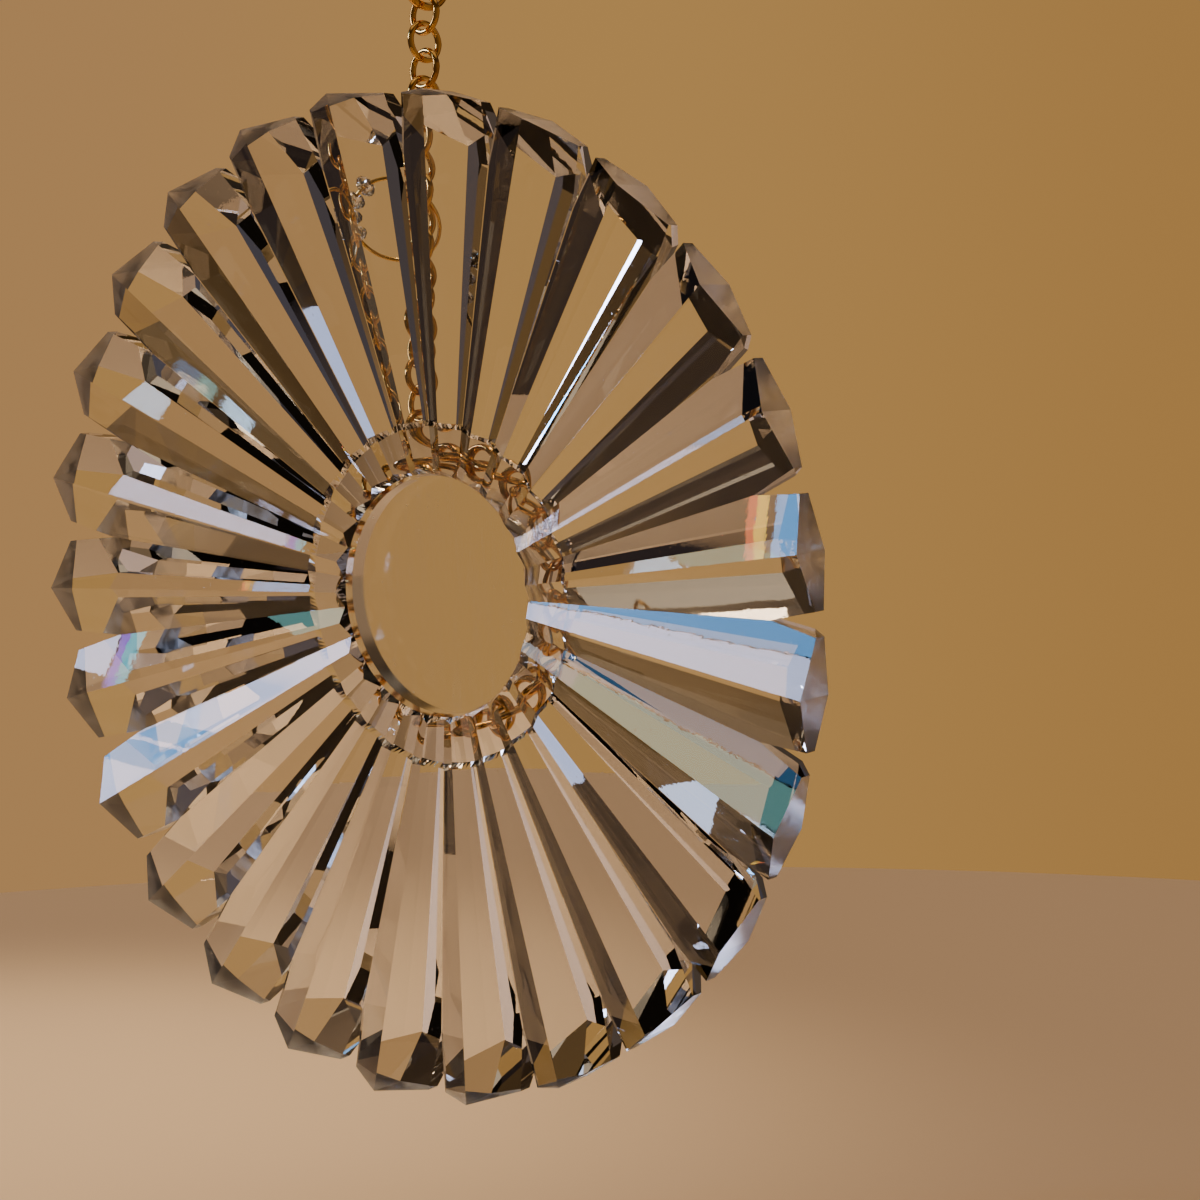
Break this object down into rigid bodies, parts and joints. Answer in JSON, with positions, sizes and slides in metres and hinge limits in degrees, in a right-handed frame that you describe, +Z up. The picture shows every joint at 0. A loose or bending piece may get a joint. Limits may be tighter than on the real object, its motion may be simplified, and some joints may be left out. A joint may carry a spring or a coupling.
{
  "type": "crystal suncatcher",
  "caption": "Round fluted clear crystal disc with radiating petals, hung by a fine gold chain looped round a hub on its back.",
  "frame": {"origin": "the top of the hanging ring's eye, where a hook or nail carries the whole ornament", "axes": "+Z up along the hanging chain; the disc's front faces -Y and leans forward a little; +X is to the viewer's right"},
  "size_m": [0.0898, 0.0196, 0.1058],
  "materials": {
    "crystal": "polished clear",
    "bead_crystal": "polished clear",
    "gold_chain": "polished gold",
    "gold_wire": "polished gold"
  },
  "bodies": {
    "root": {"crystal_disc": "crystal", "hanging_ring": "gold_chain", "chain_link_01": "gold_chain", "chain_link_02": "gold_chain", "chain_link_03": "gold_chain", "chain_link_04": "gold_chain", "chain_link_05": "gold_chain", "chain_link_06": "gold_chain", "chain_link_07": "gold_chain", "chain_link_08": "gold_chain", "chain_link_09": "gold_chain", "chain_link_10": "gold_chain", "chain_link_11": "gold_chain", "chain_link_12": "gold_chain", "chain_link_13": "gold_chain", "chain_link_14": "gold_chain", "chain_link_15": "gold_chain", "chain_link_16": "gold_chain", "hub_link_01": "gold_chain", "hub_link_02": "gold_chain", "hub_link_03": "gold_chain", "hub_link_04": "gold_chain", "hub_link_05": "gold_chain", "hub_link_06": "gold_chain", "hub_link_07": "gold_chain", "hub_link_08": "gold_chain", "hub_link_09": "gold_chain", "hub_link_10": "gold_chain", "hub_link_11": "gold_chain", "hub_link_12": "gold_chain", "hub_link_13": "gold_chain", "hub_link_14": "gold_chain", "hub_link_15": "gold_chain", "hub_link_16": "gold_chain", "hub_link_17": "gold_chain", "hub_link_18": "gold_chain", "hub_link_19": "gold_chain", "hub_link_20": "gold_chain", "hub_link_21": "gold_chain", "hub_link_22": "gold_chain", "hub_link_23": "gold_chain", "hub_link_24": "gold_chain", "hub_link_25": "gold_chain", "hub_link_26": "gold_chain", "hub_link_27": "gold_chain", "hub_link_28": "gold_chain", "hub_link_29": "gold_chain", "hub_link_30": "gold_chain", "hub_link_31": "gold_chain", "hub_link_32": "gold_chain", "wire_hoop": "gold_wire", "crystal_bead_01": "bead_crystal", "crystal_bead_02": "bead_crystal", "crystal_bead_03": "bead_crystal", "crystal_bead_04": "bead_crystal"}
  },
  "joints": []
}
